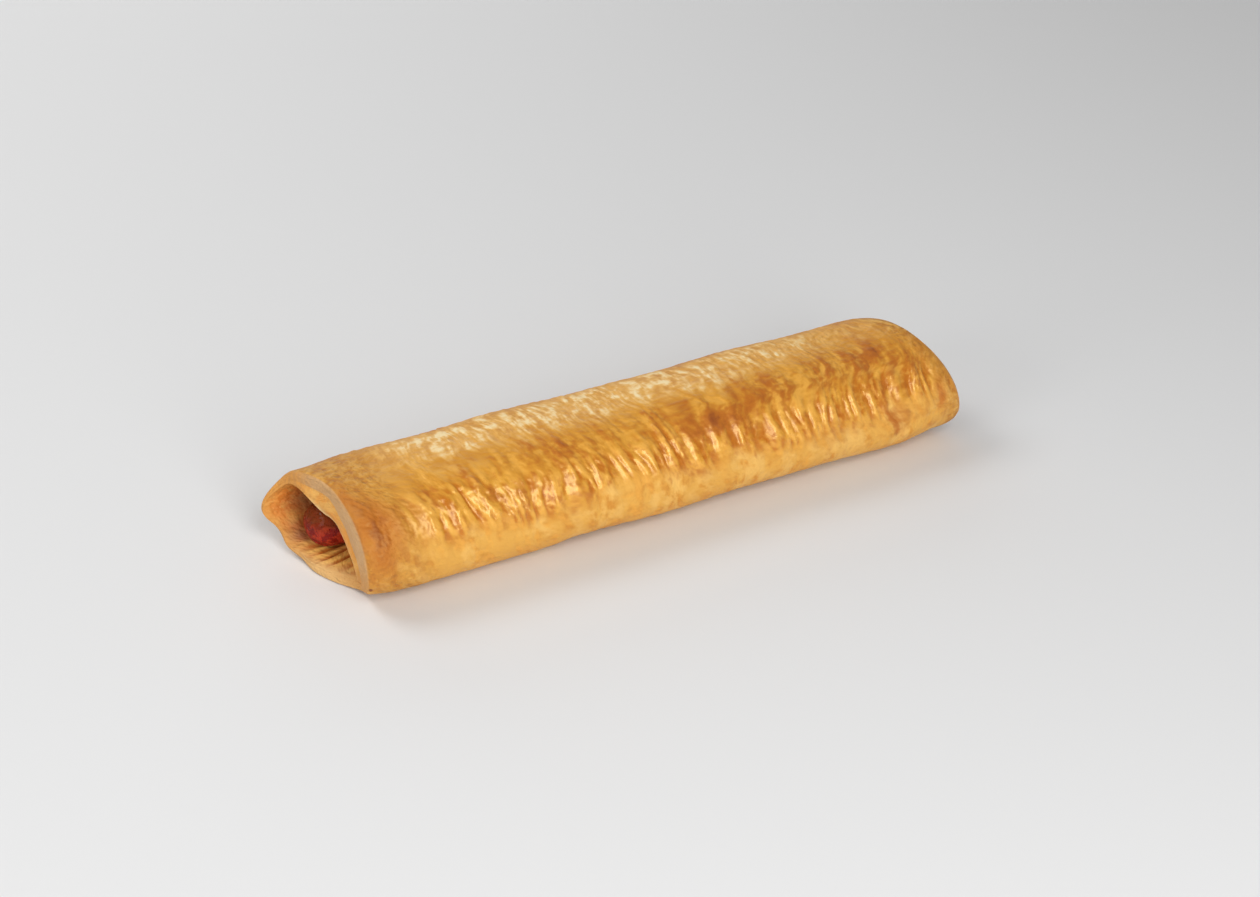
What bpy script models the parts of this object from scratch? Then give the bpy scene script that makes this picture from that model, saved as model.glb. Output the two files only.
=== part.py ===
"""A long baked sausage pie: puff pastry rolled round one sausage, open at both ends.

Metres, +Z up.  The roll lies along X with its slanted, gaping mouth at -X and its seam side
down, and the origin is the middle of the face that it rests on.  Directions round the roll are
angles about the height of its widest line: 0 is the back (+Y), 90 the top, 180 the near side
(-Y) and 270 the bottom.
"""
import bpy
import numpy as np

MM = 0.001

# Section of the roll: two half superellipses that meet at the widest line.  Their powers are
# given for the upper and for the lower half.
HALF_WIDTH = 27.0 * MM
HEIGHT = 36.0 * MM
WIDEST_HEIGHT = 17.5 * MM
BASE_SINK = 0.7 * MM
BODY_POWERS = (2.35, 2.8)
END_POWERS = (2.0, 2.35)
END_FADE = 16 * MM

# The two slanted ends: where each crosses the middle of the roll, and how far it slants.
# Each lobe is (direction, spread in degrees, millimetres along X) and shifts the edge there.
LEFT_END = -107.6 * MM
LEFT_SLANT = 0.20
LEFT_LOBES = ((354, 17, -6.6), (322, 14, -3.0), (285, 28, -2.8), (228, 18, 2.6),
              (178, 32, -2.0), (95, 30, 1.0))
RIGHT_END = 111.5 * MM
RIGHT_SLANT = 0.21
RIGHT_LOBES = ((203, 27, 3.0), (115, 45, -1.3), (240, 16, -0.6))

# The sausage: a gently bent bar that lies further back at its ends than in the middle.
SAUSAGE_RADIUS = 7.6 * MM
SAUSAGE_GAP = 0.4 * MM
SAUSAGE_LEFT_TIP = -109.8 * MM
SAUSAGE_RIGHT_TIP = 103.6 * MM
SAUSAGE_DOME = 6.0 * MM
DOME_TURNS = (14, 34, 55, 75)
SAUSAGE_MID_HEIGHT = 16.0 * MM
SAUSAGE_END_DROP = 3.4 * MM
SAUSAGE_LEFT_OFFSET = 12.4 * MM
SAUSAGE_RIGHT_OFFSET = 4.0 * MM
BEND_LENGTH = 110 * MM

# Thickness of the rolled sheet round each mouth: (direction, outer sheet, inner layer), in
# millimetres.
LEFT_MOUTH = ((0, 1.3, 2.0), (30, 2.6, 3.6), (50, 4.2, 7.0), (70, 5.6, 11.5),
              (90, 6.6, 16.5), (112, 7.6, 20.0), (140, 12.4, 21.0), (165, 13.6, 22.0),
              (182, 9.6, 17.6), (200, 5.8, 11.0), (225, 4.2, 5.6), (270, 3.6, 4.3),
              (315, 2.4, 3.2))
RIGHT_MOUTH = ((0, 4.5, 6.5), (90, 5.5, 9.0), (180, 5.0, 7.5), (270, 3.6, 4.6))
LEFT_ROUNDING = 3.0 * MM
RIGHT_ROUNDING = 7.0 * MM
LEFT_DEPTH = 21 * MM
RIGHT_DEPTH = 17 * MM

# Profile of a mouth: from the skin over the sheet's edge (share of the sheet, share of the
# rounding), over the layer's edge (share of the layer, depth) and down the wall of the hollow
# (share of the way to the bore, share of the depth, share of the pleats).
SHEET_PROFILE = ((0, 1), (0.03, 0.5), (0.13, 0.18), (0.36, 0.03), (0.7, 0), (0.95, 0.05))
LAYER_PROFILE = ((0.12, 0.9 * MM), (0.5, 0.1 * MM), (1, 0.6 * MM))
WALL_PROFILE = ((0.04, 0.22, 0.7), (0.14, 0.45, 1), (0.42, 0.72, 0.7), (1, 1, 0))

# Pleated pastry that heaps up against the sausage on the floor of a hollow.
HEAP = 0.75
HEAP_DIRECTION = 245
HEAP_SPREAD = 45
PLEAT = 0.7 * MM
PLEATS_ROUND = 24
PLEAT_DIRECTION = 268
PLEAT_SPREAD = 40

# Swells of the baked surface: one twists round the roll, the other climbs it.
TWIST_SWELL = 0.2 * MM
TWIST_LENGTH = 44.6 * MM
TWIST = 1.1
TWIST_PHASE = 0.6
CLIMB_SWELL = 0.34 * MM
CLIMB_LENGTH = 83.6 * MM
CLIMB_HEIGHT = 56.5 * MM
CLIMB_PHASE = 0.8

# Wrinkles that run up the near side; their spacing drifts and they lean with height.
WRINKLE = 0.28 * MM
WRINKLE_LENGTH = 9.5 * MM
WRINKLE_DRIFT = 1.4
DRIFT_LENGTH = 106.8 * MM
LEAN_HEIGHT = 44 * MM
WRINKLE_DIRECTION = 155
WRINKLE_SPREAD = 45

# Flange that the seam leaves along the near foot, on the left part of the roll.
FLANGE = 1.1 * MM
FLANGE_DIRECTION = 225
FLANGE_SPREAD = 14
FLANGE_RISE = (-80 * MM, -60 * MM)
FLANGE_FALL = (-39 * MM, -31 * MM)

# Mesh density.
OUTLINE_STEPS = 4000
ROUND_COUNT = 48
SKIN_RINGS = 62
BORE_RINGS = 9
SAUSAGE_SIDES = 24
SAUSAGE_RINGS = 18

# Colour and roughness.
PASTRY_FINISH = (0.55, 0.27, 0.07, 0.35)
SAUSAGE_FINISH = (0.27, 0.035, 0.015, 0.3)


def half_power(value, power):
    """Signed power: the sign of the value times its size raised to the power."""
    return np.sign(value) * np.abs(value) ** power


def lobe(angle, centre, spread):
    """Bell of height 1 round a direction, in degrees, that fades over the spread."""
    away = (angle - centre + 180) % 360 - 180
    return np.exp(-(away / spread) ** 2)


def smooth_step(value, start, end):
    """0 before the start, 1 after the end, and an S-curve between them."""
    t = np.clip((value - start) / (end - start), 0, 1)
    return t * t * (3 - 2 * t)


def phase(distance, length):
    """Phase of a wave of the given length, in radians."""
    return distance / length * 2 * np.pi


def section(turn, end_share):
    """Points (y, z) of the section; end_share 1 is the rounder form that it has at a mouth.

    y is the half width times cos(turn) to the power 2/n, and z the half height times
    sin(turn) to the power 2/n; the lower half is sunk a little and cut off at the floor.
    """
    sine = np.sin(turn)
    body_power = np.where(sine >= 0, *BODY_POWERS)
    end_power = np.where(sine >= 0, *END_POWERS)
    power = body_power + (end_power - body_power) * end_share
    half_height = np.where(sine >= 0, HEIGHT - WIDEST_HEIGHT, WIDEST_HEIGHT + BASE_SINK)
    y = HALF_WIDTH * half_power(np.cos(turn), 2 / power)
    z = WIDEST_HEIGHT + half_height * half_power(sine, 2 / power)
    return y, z


def even_turns(count):
    """Turns whose points lie evenly along the section's outline."""
    fine = np.linspace(0, 2 * np.pi, OUTLINE_STEPS + 1)
    y, z = section(fine, 0)
    length = np.concatenate([[0], np.cumsum(np.hypot(np.diff(y), np.diff(z)))])
    return np.interp(np.arange(count) / count * length[-1], length, fine)


def direction(y, z):
    """Angle in degrees about the middle of the widest line."""
    return np.degrees(np.arctan2(z - WIDEST_HEIGHT, y)) % 360


def mouth_edge(end, slant, lobes, y, angle):
    """X of a mouth's edge: a slanted plane, shifted along X by the lobes."""
    edge_x = end - slant * y
    for centre, spread, shift in lobes:
        edge_x = edge_x + shift * MM * lobe(angle, centre, spread)
    return edge_x


def relief(x, z, angle):
    """Height of the swells, the wrinkles and the flange, out of the skin."""
    twist = TWIST * np.sin(2 * np.radians(angle) + TWIST_PHASE)
    swell = TWIST_SWELL * np.sin(phase(x, TWIST_LENGTH) + twist)
    climb = phase(x, CLIMB_LENGTH) + phase(z, CLIMB_HEIGHT) + CLIMB_PHASE
    swell = swell + CLIMB_SWELL * np.sin(climb)
    drift = WRINKLE_DRIFT * np.sin(phase(x, DRIFT_LENGTH))
    wave = np.sin(phase(x, WRINKLE_LENGTH) + drift + phase(z, LEAN_HEIGHT))
    wrinkle = WRINKLE * wave * lobe(angle, WRINKLE_DIRECTION, WRINKLE_SPREAD)
    stretch = smooth_step(x, *FLANGE_RISE) * (1 - smooth_step(x, *FLANGE_FALL))
    flange = FLANGE * stretch * lobe(angle, FLANGE_DIRECTION, FLANGE_SPREAD)
    return swell + wrinkle + flange


def sausage_centre(x):
    """(y, z) of the sausage's axis at x: a shallow arc."""
    share = (x / BEND_LENGTH) ** 2
    offset = np.where(x < 0, SAUSAGE_LEFT_OFFSET, SAUSAGE_RIGHT_OFFSET)
    return offset * share, SAUSAGE_MID_HEIGHT - SAUSAGE_END_DROP * share


def skin(x, turn):
    """Point (y, z) of the baked outside at x, relief included and cut off at the floor."""
    near_end = np.maximum(1 - smooth_step(x, LEFT_END, LEFT_END + END_FADE),
                          smooth_step(x, RIGHT_END - END_FADE, RIGHT_END))
    y, z = section(turn, near_end)
    angle = direction(y, z)
    height = relief(x, z, angle)
    y = y + height * np.cos(np.radians(angle))
    z = z + height * np.sin(np.radians(angle))
    return y, np.maximum(z, 0)


def room(x, turn):
    """Distance from the skin to the wall of the bore, towards the sausage's axis."""
    y, z = skin(x, turn)
    centre_y, centre_z = sausage_centre(x)
    return np.hypot(centre_y - y, centre_z - z) - SAUSAGE_RADIUS - SAUSAGE_GAP


def ring(x, turn, thickness):
    """Points that lie the given thickness inside the skin, towards the sausage's axis."""
    y, z = skin(x, turn)
    centre_y, centre_z = sausage_centre(x)
    share = thickness / np.hypot(centre_y - y, centre_z - z)
    return np.stack([x, y + (centre_y - y) * share, z + (centre_z - z) * share], axis=1)


def round_values(table, column, angle):
    """Value of one column of a mouth's table at each direction, eased between its rows."""
    rows = np.array(table, dtype=float)
    turns = np.append(rows[:, 0], 360)
    values = np.append(rows[:, column], rows[0, column]) * MM
    place = np.searchsorted(turns, angle, side="right") - 1
    place = np.clip(place, 0, len(rows) - 1)
    step = (angle - turns[place]) / (turns[place + 1] - turns[place])
    return values[place] + (values[place + 1] - values[place]) * smooth_step(step, 0, 1)


def mouth_rings(turn, edge, table, rounding, depth, inward):
    """Rings from the skin over the cut sheet and its inner layer, down to the sausage's bore."""
    y, z = section(turn, 1)
    angle = direction(y, z)
    edge_x = mouth_edge(*edge, y, angle)
    sheet = round_values(table, 1, angle)
    layer = round_values(table, 2, angle)
    pleats = PLEAT * np.cos(np.radians(angle) * PLEATS_ROUND)
    pleats = pleats * lobe(angle, PLEAT_DIRECTION, PLEAT_SPREAD)
    heap = HEAP * lobe(angle, HEAP_DIRECTION, HEAP_SPREAD)
    rings = []
    for share, back in SHEET_PROFILE:
        rings.append(ring(edge_x + inward * back * rounding, turn, sheet * share))
    for share, back in LAYER_PROFILE:
        rings.append(ring(edge_x + inward * back, turn, sheet + (layer - sheet) * share))
    for share, back, ribs in WALL_PROFILE:
        x = edge_x + inward * back * depth
        space = room(x, turn)
        inner = layer + ribs * pleats
        rise = share + heap * share ** 0.5 * (1 - share)
        thickness = inner + np.maximum(space - inner, 0) * rise
        rings.append(ring(x, turn, np.minimum(thickness, space)))
    return rings


def pastry_rings():
    """All rings of the pastry, along the skin, into the right mouth, back through the bore."""
    turn = even_turns(ROUND_COUNT)
    left_edge = (LEFT_END, LEFT_SLANT, LEFT_LOBES)
    right_edge = (RIGHT_END, RIGHT_SLANT, RIGHT_LOBES)
    left = mouth_rings(turn, left_edge, LEFT_MOUTH, LEFT_ROUNDING, LEFT_DEPTH, 1)
    right = mouth_rings(turn, right_edge, RIGHT_MOUTH, RIGHT_ROUNDING, RIGHT_DEPTH, -1)
    start, end = left[0][:, 0], right[0][:, 0]
    outside = []
    for share in np.linspace(0, 1, SKIN_RINGS + 2)[1:-1]:
        outside.append(ring(start + (end - start) * share, turn, 0))
    start, end = left[-1][:, 0], right[-1][:, 0]
    inside = []
    for share in np.linspace(1, 0, BORE_RINGS + 2)[1:-1]:
        x = start + (end - start) * share
        inside.append(ring(x, turn, room(x, turn)))
    return left[::-1] + outside + right + inside


def sausage_rings():
    """Rings of the sausage, from one domed end to the other."""
    turn = np.arange(SAUSAGE_SIDES) / SAUSAGE_SIDES * 2 * np.pi
    arc = np.radians(DOME_TURNS)
    backs, shares = SAUSAGE_DOME * (1 - np.cos(arc)), np.sin(arc)
    start, end = SAUSAGE_LEFT_TIP + SAUSAGE_DOME, SAUSAGE_RIGHT_TIP - SAUSAGE_DOME
    middle = np.linspace(start, end, SAUSAGE_RINGS)
    places = np.concatenate([SAUSAGE_LEFT_TIP + backs, middle,
                             SAUSAGE_RIGHT_TIP - backs[::-1]])
    widths = np.concatenate([shares, np.ones(SAUSAGE_RINGS), shares[::-1]])
    rings = []
    for x, share in zip(places, widths):
        centre_y, centre_z = sausage_centre(x)
        radius = SAUSAGE_RADIUS * share
        rings.append(np.stack([np.full(SAUSAGE_SIDES, x), centre_y + radius * np.cos(turn),
                               centre_z + radius * np.sin(turn)], axis=1))
    return rings


def ring_faces(ring_count, round_count, closed):
    """Triangles that join each ring to the next, and the last to the first if closed."""
    rows = np.arange(ring_count if closed else ring_count - 1)
    row, column = np.meshgrid(rows, np.arange(round_count), indexing="ij")
    row, column = row.ravel(), column.ravel()
    next_row, next_column = (row + 1) % ring_count, (column + 1) % round_count
    a, b = row * round_count + column, row * round_count + next_column
    c, d = next_row * round_count + next_column, next_row * round_count + column
    return np.concatenate([np.stack([a, b, c], axis=1), np.stack([a, c, d], axis=1)]).tolist()


def cap_faces(first, tip, round_count, flip):
    """Triangle fan from a ring's first point to a tip."""
    faces = []
    for column in range(round_count):
        a, b = first + column, first + (column + 1) % round_count
        faces.append((b, a, tip) if flip else (a, b, tip))
    return faces


def add_object(name, points, faces, finish):
    """Mesh object with its own Principled material, shaded smooth."""
    mesh = bpy.data.meshes.new(name)
    mesh.from_pydata([tuple(point) for point in points], [], faces)
    mesh.shade_smooth()
    material = bpy.data.materials.new(name)
    material.use_nodes = True
    shader = material.node_tree.nodes["Principled BSDF"]
    shader.inputs["Base Color"].default_value = (*finish[:3], 1)
    shader.inputs["Roughness"].default_value = finish[3]
    shader.inputs["Metallic"].default_value = 0
    mesh.materials.append(material)
    bpy.context.scene.collection.objects.link(bpy.data.objects.new(name, mesh))


def make_pastry():
    """The pastry: one closed tube whose wall turns in at both mouths."""
    rings = pastry_rings()
    faces = ring_faces(len(rings), ROUND_COUNT, True)
    add_object("pastry", np.concatenate(rings), faces, PASTRY_FINISH)


def make_sausage():
    """The sausage: a bent bar with domed ends."""
    rings = sausage_rings()
    points = np.concatenate(rings)
    tips = []
    for x in (SAUSAGE_LEFT_TIP, SAUSAGE_RIGHT_TIP):
        centre_y, centre_z = sausage_centre(x)
        tips.append((x, float(centre_y), float(centre_z)))
    faces = ring_faces(len(rings), SAUSAGE_SIDES, False)
    faces += cap_faces(0, len(points), SAUSAGE_SIDES, True)
    faces += cap_faces(len(points) - SAUSAGE_SIDES, len(points) + 1, SAUSAGE_SIDES, False)
    add_object("sausage", np.concatenate([points, tips]), faces, SAUSAGE_FINISH)


for old in list(bpy.data.objects):
    bpy.data.objects.remove(old)
make_pastry()
make_sausage()
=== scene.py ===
"""Looks of a long baked sausage pie: egg-washed puff pastry rolled round one sausage.

Metres, +Z up, in the part's own frame: the roll lies along X with its gaping mouth at -X.
Directions round the roll are angles about the height of its widest line: 0 is the back (+Y),
90 the top, 180 the near side (-Y) and 270 the bottom.
"""

import bpy
import numpy as np
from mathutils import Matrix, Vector


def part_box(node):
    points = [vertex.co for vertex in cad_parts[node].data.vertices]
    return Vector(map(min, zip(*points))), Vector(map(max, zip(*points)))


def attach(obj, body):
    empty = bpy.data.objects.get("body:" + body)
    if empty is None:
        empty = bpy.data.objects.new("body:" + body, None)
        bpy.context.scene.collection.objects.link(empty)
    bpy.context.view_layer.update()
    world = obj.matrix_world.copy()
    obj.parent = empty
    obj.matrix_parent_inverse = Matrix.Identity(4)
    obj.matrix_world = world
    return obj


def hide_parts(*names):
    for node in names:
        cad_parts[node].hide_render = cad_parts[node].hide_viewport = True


MM = 0.001

# ---------------------------------------------------------------- form of the roll and sausage

# Section of the roll: two half superellipses that meet at the widest line, the lower one sunk a
# little into the floor.  Their powers are given for the upper and for the lower half, and fade
# to the rounder ones of the ends over the last stretch of the roll.
HALF_WIDTH = 27.0 * MM
HEIGHT = 36.0 * MM
WIDEST_HEIGHT = 17.5 * MM
BASE_SINK = 0.7 * MM
BODY_POWERS = (2.35, 2.8)
END_POWERS = (2.0, 2.35)
END_FADE = 16 * MM

# The two slanted ends: where each crosses the middle of the roll, and how far it slants.
# Each lobe is (direction, spread in degrees, millimetres along X) and shifts the edge there.
LEFT_END = -107.6 * MM
LEFT_SLANT = 0.20
LEFT_LOBES = ((354, 17, -6.6), (322, 14, -3.0), (285, 28, -2.8), (228, 18, 2.6),
              (178, 32, -2.0), (95, 30, 1.0))
RIGHT_END = 111.5 * MM
RIGHT_SLANT = 0.21
RIGHT_LOBES = ((203, 27, 3.0), (115, 45, -1.3), (240, 16, -0.6))

# The sausage: a gently bent bar that lies further back at its ends than in the middle.
SAUSAGE_RADIUS = 7.6 * MM
SAUSAGE_GAP = 0.4 * MM
SAUSAGE_DOME = 6.0 * MM
SAUSAGE_MID_HEIGHT = 16.0 * MM
SAUSAGE_END_DROP = 3.4 * MM
SAUSAGE_LEFT_OFFSET = 12.4 * MM
SAUSAGE_RIGHT_OFFSET = 4.0 * MM
BEND_LENGTH = 110 * MM

# Thickness of the rolled sheet round each mouth: (direction, outer sheet, inner layer), in
# degrees and millimetres.
LEFT_MOUTH = ((0, 1.3, 2.0), (30, 2.6, 3.6), (50, 4.2, 7.0), (70, 5.6, 11.9),
              (90, 6.6, 16.8), (112, 7.6, 20.4), (140, 12.4, 21.6), (165, 13.6, 22.0),
              (182, 9.6, 17.6), (200, 5.8, 11.0), (225, 4.2, 5.6), (270, 3.6, 4.3),
              (315, 2.4, 3.2))
RIGHT_MOUTH = ((0, 4.5, 6.5), (90, 5.5, 9.0), (180, 5.0, 7.5), (270, 3.6, 4.6))
# A thickness is averaged over these steps either side of its direction, in degrees.
BLEND = (-9, -6, -3, 0, 3, 6, 9)
# The skin rounds into a mouth over the first length, and the hollow goes in by the second.
LEFT_ROUNDING = 3.0 * MM
LEFT_DEPTH = 21 * MM
RIGHT_ROUNDING = 7.0 * MM
RIGHT_DEPTH = 17 * MM

# Profile of a mouth, row by row from the skin to the bore.  Columns: share of the outer sheet,
# share of the inner layer, share of the way to the bore, share of the pleats, and how far back
# from the edge, as shares of the rounding and of the depth and in millimetres.
MOUTH_PROFILE = ((0, 0, 0, 0, 1, 0, 0), (0.03, 0, 0, 0, 0.5, 0, 0),
                 (0.13, 0, 0, 0, 0.18, 0, 0), (0.36, 0, 0, 0, 0.03, 0, 0),
                 (0.7, 0, 0, 0, 0, 0, 0), (0.95, 0, 0, 0, 0.05, 0, 0),
                 (1, 0.12, 0, 0, 0, 0, 1.3), (1, 0.5, 0, 0, 0, 0, 0.1),
                 (1, 1, 0, 0, 0, 0, 0.6), (1, 1, 0.04, 0.7, 0, 0.22, 0),
                 (1, 1, 0.14, 1, 0, 0.45, 0), (1, 1, 0.42, 0.7, 0, 0.72, 0),
                 (1, 1, 1, 0, 0, 1, 0))
# Rings laid in each step of the profile.
PROFILE_RINGS = (3, 4, 5, 6, 6, 5, 5, 5, 8, 6, 6, 4)
# The crease between the sheets gapes about this direction, in degrees, over the spread.
CREASE_OPEN = (140, 72)

# Places on the profile, counted in rows.  Painted shade darkens the hollow from the layer's row
# to the wall's.
LAYER_ROW = 8.0
WALL_ROW = 12.0
# The finish changes over these: from the skin to the cut face, to the fold, to the hollow.
CUT_ROWS = (1.7, 2.3)
FOLD_ROWS = (5.4, 6.0)
HOLLOW_ROWS = (8.0, 9.2)
# The skin's relief fades out over the first, and the cut face's leaves stand between the others.
SKIN_FADE = (0.5, 2.5)
LEAVES_RISE = (1.6, 2.4)
LEAVES_FALL = (5.3, 6.0)
# The fold's rim of painted highlight, the pleats' painted light, the stain, the lumps and the
# clinging pastry.
RIM_HIGHLIGHT_RISE = (7.3, 7.9)
RIM_HIGHLIGHT_FALL = (8.0, 8.5)
PLEATS_RISE = (7.6, 9.0)
STAIN_RISE = (7.9, 8.4)
STAIN_FALL = (9.2, 10.4)
LUMPS_RISE = (9, 10)
CLING_RISE = (WALL_ROW - 2, WALL_ROW - 0.7)

# Leaves of the cut face and lumps of the hollow are this high from valley to crest.
LEAF_HEIGHT = 0.25 * MM
LUMP_HEIGHT = 0.5 * MM
# Pastry clings to the sausage where it comes out of the bore: this thick, times a noise that is
# raised by a share.
CLING = 1.3 * MM
CLING_RAISE = 0.2

# Pleated pastry that heaps up against the sausage on the floor of a hollow.  The painted light on
# the pleats' crests spreads a little further round than the pleats.
HEAP = 0.75
HEAP_DIRECTION = 245
HEAP_SPREAD = 45
PLEAT = 0.7 * MM
PLEATS_ROUND = 24
PLEAT_DIRECTION = 268
PLEAT_SPREAD = 40
PLEAT_COLOUR_SPREAD = 50

# Swells of the baked surface: one twists round the roll, the other climbs it.
TWIST_SWELL = 0.2 * MM
TWIST_LENGTH = 44.6 * MM
TWIST = 1.1
TWIST_PHASE = 0.6
CLIMB_SWELL = 0.34 * MM
CLIMB_LENGTH = 83.6 * MM
CLIMB_HEIGHT = 56.5 * MM
CLIMB_PHASE = 0.8

# Wrinkles that run up the near side; their spacing drifts and they lean with height.
WRINKLE = 0.28 * MM
WRINKLE_LENGTH = 9.5 * MM
WRINKLE_DRIFT = 1.4
DRIFT_LENGTH = 106.8 * MM
LEAN_HEIGHT = 44 * MM
WRINKLE_DIRECTION = 155
WRINKLE_SPREAD = 45

# Flange that the seam leaves along the near foot, on the left part of the roll.
FLANGE = 1.1 * MM
FLANGE_DIRECTION = 225
FLANGE_SPREAD = 14
FLANGE_RISE = (-80 * MM, -60 * MM)
FLANGE_FALL = (-39 * MM, -31 * MM)

# Each of these is a direction and a spread, in degrees: where the cut face of the outer sheet
# shows plainly, where the left hollow is stained, and where the hollow is lumpy and pastry
# clings to the sausage in it.
LIP = (125, 68)
STAIN = (327, 13)
LOOSE = (290, 80)

# Mesh density of the crust: columns round it, with fewer on its flat underside, and rings.
OUTLINE_STEPS = 4000
FLAT_SHARE = 0.35
ROUND_COUNT = 176
SKIN_RINGS = 436
BORE_RINGS = 4

# ---------------------------------------------------------------- fine relief of the crust

# Zones are told apart by how far round from the crown a place lies, in degrees; the back side
# is shorter than the near side, so its degrees count for more.
CROWN_DIRECTION = 70
BACK_STRETCH = 200 / 160
CROWN_FADE = (6, 62)
CROWN_START = (-98 * MM, -74 * MM)
CROWN_STOP = (58 * MM, 92 * MM)
CROWN_LOSS = 0.45
SIDE_RISE = (62, 84)
SIDE_FALL = (94, 116)
# The ribbed side reaches this many degrees higher on the left part of the roll.
SIDE_REACH = 11
REACH_FADE = (-62 * MM, -30 * MM)
BASE_RISE = (97, 118)
# The skin is plainer near the mouths; lengths from the right one count for more.
EDGE_FADE = (8 * MM, 28 * MM)
RIGHT_EDGE_STRETCH = 2.5
# The relief fades in over this height above the floor.
FLOOR_FADE = (0.3 * MM, 3 * MM)

# Noises of the relief: (cell along X, cells round the roll, seed).
WANDER_NOISE = (15 * MM, 9, 18)
FRAY_NOISE = (4 * MM, 19, 19)
WARP_NOISE = (9 * MM, 13, 11)
BROAD_WARP_NOISE = (20.7 * MM, 7, 12)
RIB_NOISE = (1.4 * MM, 25, 13)
SWELL_NOISE = (4.6 * MM, 14, 14)
BLISTER_NOISE = (1.5 * MM, 76, 15)
DEPTH_NOISE = (14 * MM, 8, 17)
LEAF_NOISE = (2.2 * MM, 22, 21)
LUMP_NOISE = (2.6 * MM, 40, 22)
CLING_NOISE = (3 * MM, 17, 23)
NOISE_ROWS = 512

# The zones' borders wander by this many degrees, with a share of finer fraying.
WANDER_ANGLE = 11
FRAY_SHARE = 0.5

# Ribs of the baked skin run round the roll: a noise with a share of a wave along X.  Their tops
# and valleys are flat past the plateau's ends.  Broader swells lie under them, along lengths
# that are squeezed a little.
RIB_LENGTH = 4.1 * MM
RIB_WAVE_SHARE = 0.22
RIB_PLATEAU = (0.14, 0.84)
RIB_HEIGHT = 0.6 * MM
SWELL_HEIGHT = 0.4 * MM
SWELL_SQUEEZE = 0.9
# Ribs and swells are shifted along X by this length times a warp: a noise from -0.5 to 0.5 with
# a share of a broader one.
WARP = 3.6 * MM
BROAD_WARP_SHARE = 0.6
# The ribs lean on the left part of the roll, by a length for each degree, and curve on the right.
LEAN = 0.12 * MM
LEAN_LIMIT = -62
CURVE = 0.9 * MM
CURVE_LIMIT = 4 * CURVE
CURVE_DIRECTION = 158
CURVE_SPREAD = 13
CURVE_RISE = (0, 44 * MM)
# How high the ribs stand in each zone, as a share of the side's.  Patches of a noise raise the
# least share by a gain, and near the mouths a part of it is lost.
CROWN_DEPTH = 0.32
SHOULDER_DEPTH = 0.45
BASE_DEPTH = 0.15
LEAST_DEPTH = 0.6
DEPTH_GAIN = 0.55
DEPTH_RANGE = (0.25, 0.75)
EDGE_LOSS = 0.7
# Small blisters stand on the left part of the near side, where their noise is in this range.
BLISTER_HEIGHT = 0.35 * MM
BLISTER_RANGE = (0.62, 0.9)
BLISTERS_START = (-88 * MM, -83 * MM)
BLISTERS_STOP = (-45 * MM, -40 * MM)

# The back is less glossy: wholly below the first of these directions, not past the second.
BACK_FADE = (60, 98)

# Browning of each zone, then patches that follow the warp by so many millimetres: browning, and
# painted shade in one crease.
BROWN_SHOULDER = 0.3
BROWN_SIDE = 0.15
BROWN_EDGE = 0.1
BROWN_MOST = 1.3
BROWN_BEND = 10
# Each patch is (x in mm, direction, spread in mm, spread in degrees, strength).
# The patch at (109.2, 173) darkens the deepest dent of the right end: painted shade in a crease.
BROWN_AND_SHADE_PATCHES = ((28, 142, 7, 12, 0.4), (24, 144, 11, 13, 0.4), (86, 118, 4, 16, 0.45),
                 (84, 122, 10, 24, 0.3), (49, 122, 6, 24, 0.42), (65, 130, 5, 18, 0.42),
                 (91, 160, 4, 12, 0.5), (-32, 132, 8, 15, 0.3), (-48, 122, 12, 13, 0.3),
                 (-55, 158, 6, 10, 0.3), (8, 118, 16, 14, 0.25), (-101, 140, 4, 30, 0.25),
                 (-103, 110, 3, 26, 0.2), (109.2, 173, 1.8, 10, 0.7), (106, 196, 4, 5, 0.4),
                 (98.5, 193, 4, 5, -0.3), (95, 178, 6, 6, 0.2), (52, 160, 5, 9, 0.3),
                 (-14, 128, 10, 12, 0.15), (72, 108, 9, 14, 0.25), (100, 140, 6, 16, 0.3),
                 (-64, 30, 13, 16, 0.5), (-12, 22, 15, 14, 0.5), (40, 34, 12, 15, 0.45),
                 (88, 24, 12, 16, 0.5), (-98, 20, 6, 30, 0.4), (-68, 114, 16, 16, -0.2),
                 (92, 186, 12, 14, 0.35), (-98, 190, 8, 16, 0.35), (-97, 158, 7, 25, 0.75),
                 (52, 135, 22, 8, 0.25))
# Pale flakes, partly painted sheen, reach down to the shoulder in one patch, given the same way.
PALE_PATCH = (-68, 118, 17, 15, 0.5)
# Dark specks by the left mouth, given the same way.
SPECKS = ((-103.4, 208, 0.6, 2.2, 1), (-102.6, 199, 0.6, 2.2, 1))
# Dents and lobes of the tucked right end, given the same way with a height in mm.
DENTS = ((109.2, 173, 1.4, 9, -0.6), (112.6, 187, 1.2, 7, -0.45), (92.4, 198, 1.6, 4, -0.35),
         (92.6, 191, 1.6, 4, -0.4), (95, 186, 2.0, 3.5, -0.4), (99, 184.5, 2.4, 3.5, -0.4),
         (104, 187, 2.4, 4, -0.4), (98.5, 193, 3.6, 5, 0.45))

# The cut face's pattern is laid on a thin cylinder of this radius.  Its relief is laid along the
# thickness, which is squeezed so many times.
LEAF_RADIUS = 2 * MM
LEAF_SQUEEZE = 6


def half_power(value, power):
    """Signed power: the sign of the value times its size raised to the power."""
    return np.sign(value) * np.abs(value) ** power


def lobe(angle, centre, spread):
    """Bell of height 1 round a direction, in degrees, that fades over the spread."""
    away = (angle - centre + 180) % 360 - 180
    return np.exp(-(away / spread) ** 2)


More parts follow.
